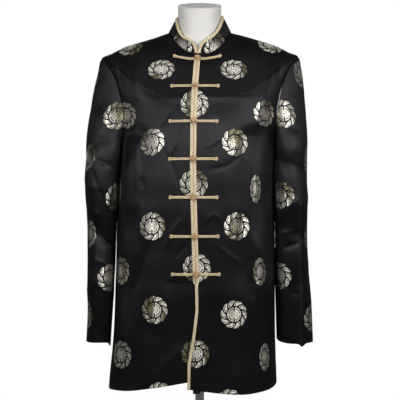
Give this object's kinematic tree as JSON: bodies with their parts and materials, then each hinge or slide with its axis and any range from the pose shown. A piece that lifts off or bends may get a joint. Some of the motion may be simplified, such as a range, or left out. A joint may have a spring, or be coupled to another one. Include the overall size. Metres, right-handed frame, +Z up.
{
  "type": "tang-style brocade jacket on a limbless dress form",
  "caption": "Long-sleeved stand-collar jacket in patterned satin with cord frog fastenings, worn open-sleeved on a dress form with a round stand base.",
  "frame": {"origin": "centre of the round base's underside, on the floor under the dress form's pole", "axes": "+Z up along the pole, -Y the way the jacket's front faces, +X the wearer's left"},
  "size_m": [0.512, 0.3035, 1.0308],
  "materials": {
    "satin": "black satin with round medallions in gold and silver metallic thread",
    "cord": "pale gold satin bias strip and cord",
    "shell": "smooth off-white covering, semi-matt",
    "steel": "brushed grey steel"
  },
  "bodies": {
    "root": {"front_right": "satin", "front_left": "satin", "back": "satin", "sleeve_right": "satin", "sleeve_left": "satin", "collar": "satin", "under_placket": "satin", "collar_binding": "cord", "binding_right": "cord", "binding_left": "cord", "form_torso": "shell", "form_neck_cap": "shell", "form_pole": "steel", "form_base": "steel", "frog_loop_1": "cord", "frog_knot_1": "cord", "frog_loop_2": "cord", "frog_knot_2": "cord", "frog_loop_3": "cord", "frog_knot_3": "cord", "frog_loop_4": "cord", "frog_knot_4": "cord", "frog_loop_5": "cord", "frog_knot_5": "cord", "frog_loop_6": "cord", "frog_knot_6": "cord", "frog_loop_7": "cord", "frog_knot_7": "cord"}
  },
  "joints": []
}
